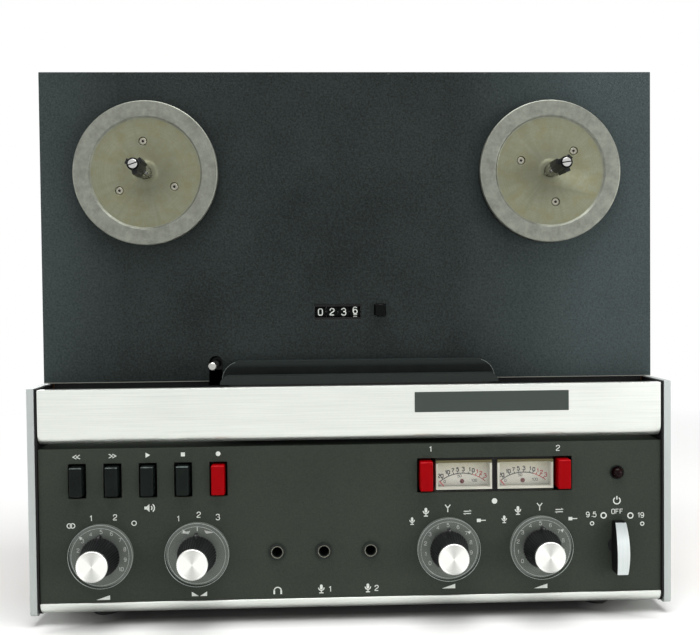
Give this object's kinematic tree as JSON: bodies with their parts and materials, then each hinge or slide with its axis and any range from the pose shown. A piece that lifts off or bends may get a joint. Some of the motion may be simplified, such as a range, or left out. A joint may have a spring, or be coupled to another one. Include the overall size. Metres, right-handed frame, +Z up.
{
  "type": "reel-to-reel tape recorder",
  "caption": "Upright reel-to-reel tape recorder with turntables, head cover and hinged flap above a control panel with keys, dials, level meters and jacks.",
  "frame": {"origin": "on the table under the middle of the machine's box", "axes": "+X to the right seen from the front, +Y to the back, +Z up; the controls face -Y"},
  "size_m": [0.413, 0.207, 0.359],
  "materials": {
    "walnut": "oiled",
    "black_board": "matte",
    "bare_aluminium": "satin",
    "black_rubber": "matte",
    "cast_aluminium": "black paint",
    "deck_paint": "fine grained matte paint",
    "brushed_aluminium": "brushed",
    "side_plate_aluminium": "satin",
    "black_strip": "matte",
    "panel_paint": "satin paint",
    "black_plastic": "satin",
    "head_metal": "polished",
    "motor_iron": "plain",
    "board_laminate": "satin",
    "meter_case": "satin",
    "clear_window": "clear",
    "pot_metal": "plain",
    "red_lens": "gloss",
    "turntable_metal": "dull turned",
    "spindle_chrome": "polished",
    "black_key": "satin",
    "red_key": "satin",
    "knob_plastic": "black with a turned face",
    "clear_acrylic": "clear",
    "lever_plastic": "satin",
    "wheel_plastic": "satin",
    "spindle_steel": "ground",
    "roller_rubber": "matte",
    "needle_red": "matte",
    "guide_steel": "ground"
  },
  "bodies": {
    "machine": {"cabinet": "walnut", "rear_cover": "black_board", "connector_panel": "bare_aluminium", "feet": "black_rubber", "chassis": "cast_aluminium", "deck_plate": "deck_paint", "control_tray": "brushed_aluminium", "side_plates": "side_plate_aluminium", "side_strips": "black_strip", "control_panel": "panel_paint", "compartment_floor": "cast_aluminium", "head_cover": "black_plastic", "head_carrier": "bare_aluminium", "tape_heads": "head_metal", "motor_stators": "motor_iron", "power_transformer": "motor_iron", "circuit_boards": "board_laminate", "vu_meters": "meter_case", "meter_windows": "clear_window", "jack_sockets": "black_plastic", "control_pots": "pot_metal", "key_bank": "black_plastic", "counter_frame": "pot_metal", "counter_belt": "black_rubber", "indicator_lamp": "red_lens"},
    "left_reel": {"left_turntable": "turntable_metal", "left_spindle": "spindle_chrome"},
    "right_reel": {"right_turntable": "turntable_metal", "right_spindle": "spindle_chrome"},
    "left_lock": {"left_reel_lock": "black_plastic"},
    "right_lock": {"right_reel_lock": "black_plastic"},
    "flap": {"flap": "brushed_aluminium"},
    "rewind_key": {"rewind_key": "black_key"},
    "forward_key": {"forward_key": "black_key"},
    "play_key": {"play_key": "black_key"},
    "stop_key": {"stop_key": "black_key"},
    "record_key": {"record_key": "red_key"},
    "channel_1_key": {"channel_1_key": "red_key"},
    "channel_2_key": {"channel_2_key": "red_key"},
    "volume_knob": {"volume_knob": "knob_plastic"},
    "monitor_dial": {"monitor_dial": "clear_acrylic"},
    "balance_knob": {"balance_knob": "knob_plastic"},
    "source_dial": {"source_dial": "clear_acrylic"},
    "level_1_knob": {"level_1_knob": "knob_plastic"},
    "input_1_dial": {"input_1_dial": "clear_acrylic"},
    "level_2_knob": {"level_2_knob": "knob_plastic"},
    "input_2_dial": {"input_2_dial": "clear_acrylic"},
    "power_lever": {"power_lever": "lever_plastic"},
    "reset_key": {"reset_key": "black_key"},
    "thousands_wheel": {"thousands_wheel": "wheel_plastic"},
    "hundreds_wheel": {"hundreds_wheel": "wheel_plastic"},
    "tens_wheel": {"tens_wheel": "wheel_plastic"},
    "units_wheel": {"units_wheel": "wheel_plastic"},
    "counter_pulley": {"counter_pulley": "bare_aluminium"},
    "capstan": {"capstan": "spindle_steel"},
    "pinch_arm": {"pinch_arm": "pot_metal"},
    "pinch_roller": {"pinch_roller": "roller_rubber"},
    "left_needle": {"left_needle": "needle_red"},
    "right_needle": {"right_needle": "needle_red"},
    "guide_arm": {"guide_arm": "guide_steel"}
  },
  "joints": [
    {"name": "left_reel_spin", "type": "hinge", "parent": "machine", "child": "left_reel", "pos_m": [-0.13375, -0.0535, 0.2913], "axis": [0, 1, 0], "continuous": true},
    {"name": "right_reel_spin", "type": "hinge", "parent": "machine", "child": "right_reel", "pos_m": [0.13375, -0.0535, 0.2913], "axis": [0, 1, 0], "continuous": true},
    {"name": "left_lock_turn", "type": "hinge", "parent": "left_reel", "child": "left_lock", "pos_m": [-0.13375, -0.0835, 0.2913], "axis": [0, 1, 0], "range_deg": [0, 60]},
    {"name": "right_lock_turn", "type": "hinge", "parent": "right_reel", "child": "right_lock", "pos_m": [0.13375, -0.0835, 0.2913], "axis": [0, 1, 0], "range_deg": [0, 60]},
    {"name": "flap_hinge", "type": "hinge", "parent": "machine", "child": "flap", "pos_m": [0, -0.07508, 0.12031], "axis": [1, 0, 0], "range_deg": [0, 95]},
    {"name": "rewind_press", "type": "slide", "parent": "machine", "child": "rewind_key", "axis": [0, 1, 0], "range_m": [0, 0.004], "stiffness_N_per_m": 250, "springref_m": -0.003},
    {"name": "forward_press", "type": "slide", "parent": "machine", "child": "forward_key", "axis": [0, 1, 0], "range_m": [0, 0.004], "stiffness_N_per_m": 250, "springref_m": -0.003},
    {"name": "play_press", "type": "slide", "parent": "machine", "child": "play_key", "axis": [0, 1, 0], "range_m": [0, 0.004], "stiffness_N_per_m": 250, "springref_m": -0.003},
    {"name": "stop_press", "type": "slide", "parent": "machine", "child": "stop_key", "axis": [0, 1, 0], "range_m": [0, 0.004], "stiffness_N_per_m": 250, "springref_m": -0.003},
    {"name": "record_press", "type": "slide", "parent": "machine", "child": "record_key", "axis": [0, 1, 0], "range_m": [0, 0.004], "stiffness_N_per_m": 250, "springref_m": -0.003},
    {"name": "channel_1_press", "type": "slide", "parent": "machine", "child": "channel_1_key", "axis": [0, 1, 0], "range_m": [0, 0.003]},
    {"name": "channel_2_press", "type": "slide", "parent": "machine", "child": "channel_2_key", "axis": [0, 1, 0], "range_m": [0, 0.003]},
    {"name": "volume_turn", "type": "hinge", "parent": "machine", "child": "volume_knob", "pos_m": [-0.1615, -0.0795, 0.0453], "axis": [0, 1, 0], "range_deg": [-140, 140]},
    {"name": "monitor_turn", "type": "hinge", "parent": "machine", "child": "monitor_dial", "pos_m": [-0.1615, -0.0795, 0.0453], "axis": [0, 1, 0], "range_deg": [0, 90]},
    {"name": "balance_turn", "type": "hinge", "parent": "machine", "child": "balance_knob", "pos_m": [-0.1005, -0.0795, 0.0453], "axis": [0, 1, 0], "range_deg": [-140, 140]},
    {"name": "source_turn", "type": "hinge", "parent": "machine", "child": "source_dial", "pos_m": [-0.1005, -0.0795, 0.0453], "axis": [0, 1, 0], "range_deg": [0, 57]},
    {"name": "level_1_turn", "type": "hinge", "parent": "machine", "child": "level_1_knob", "pos_m": [0.061, -0.0795, 0.0453], "axis": [0, 1, 0], "range_deg": [-140, 140]},
    {"name": "input_1_turn", "type": "hinge", "parent": "machine", "child": "input_1_dial", "pos_m": [0.061, -0.0795, 0.0453], "axis": [0, 1, 0], "range_deg": [-102, 0]},
    {"name": "level_2_turn", "type": "hinge", "parent": "machine", "child": "level_2_knob", "pos_m": [0.1214, -0.0795, 0.0453], "axis": [0, 1, 0], "range_deg": [-140, 140]},
    {"name": "input_2_turn", "type": "hinge", "parent": "machine", "child": "input_2_dial", "pos_m": [0.1214, -0.0795, 0.0453], "axis": [0, 1, 0], "range_deg": [-102, 0]},
    {"name": "power_turn", "type": "hinge", "parent": "machine", "child": "power_lever", "pos_m": [0.1717, -0.0795, 0.0453], "axis": [0, 1, 0], "range_deg": [-45, 45]},
    {"name": "reset_press", "type": "slide", "parent": "machine", "child": "reset_key", "axis": [0, 1, 0], "range_m": [0, 0.003], "stiffness_N_per_m": 200, "springref_m": -0.003},
    {"name": "thousands_turn", "type": "hinge", "parent": "machine", "child": "thousands_wheel", "pos_m": [-0.0085, -0.042, 0.1988], "axis": [1, 0, 0], "continuous": true},
    {"name": "hundreds_turn", "type": "hinge", "parent": "machine", "child": "hundreds_wheel", "pos_m": [-0.0085, -0.042, 0.1988], "axis": [1, 0, 0], "continuous": true},
    {"name": "tens_turn", "type": "hinge", "parent": "machine", "child": "tens_wheel", "pos_m": [-0.0085, -0.042, 0.1988], "axis": [1, 0, 0], "continuous": true},
    {"name": "units_turn", "type": "hinge", "parent": "machine", "child": "units_wheel", "pos_m": [-0.0085, -0.042, 0.1988], "axis": [1, 0, 0], "continuous": true},
    {"name": "counter_pulley_spin", "type": "hinge", "parent": "machine", "child": "counter_pulley", "pos_m": [-0.0085, -0.042, 0.1988], "axis": [0, 1, 0], "continuous": true},
    {"name": "capstan_spin", "type": "hinge", "parent": "machine", "child": "capstan", "pos_m": [0.062, -0.0535, 0.147], "axis": [0, 1, 0], "continuous": true},
    {"name": "pinch_arm_swing", "type": "hinge", "parent": "machine", "child": "pinch_arm", "pos_m": [0.028, -0.0535, 0.1312], "axis": [0, -1, 0], "range_deg": [0, 6.6], "stiffness_Nm_per_rad": 0.3, "springref_deg": -8.59},
    {"name": "pinch_roller_spin", "type": "hinge", "parent": "pinch_arm", "child": "pinch_roller", "pos_m": [0.062, -0.0535, 0.1312], "axis": [0, 1, 0], "continuous": true},
    {"name": "left_needle_swing", "type": "hinge", "parent": "machine", "child": "left_needle", "pos_m": [0.0715, -0.0795, 0.069], "axis": [0, 1, 0], "range_deg": [0, 76], "stiffness_Nm_per_rad": 0.0004, "springref_deg": -17.19},
    {"name": "right_needle_swing", "type": "hinge", "parent": "machine", "child": "right_needle", "pos_m": [0.1115, -0.0795, 0.069], "axis": [0, 1, 0], "range_deg": [0, 76], "stiffness_Nm_per_rad": 0.0004, "springref_deg": -17.19},
    {"name": "guide_swing", "type": "hinge", "parent": "machine", "child": "guide_arm", "pos_m": [-0.0605, -0.0535, 0.1646], "axis": [0, -1, 0], "range_deg": [0, 15], "stiffness_Nm_per_rad": 0.3, "springref_deg": -11.46}
  ],
  "couplings": [
    {"joint": "units_turn", "follows": "right_reel_spin", "ratio": 0.1},
    {"joint": "tens_turn", "follows": "right_reel_spin", "ratio": 0.01},
    {"joint": "hundreds_turn", "follows": "right_reel_spin", "ratio": 0.001},
    {"joint": "thousands_turn", "follows": "right_reel_spin", "ratio": 0.0001},
    {"joint": "counter_pulley_spin", "follows": "right_reel_spin", "ratio": 1}
  ]
}
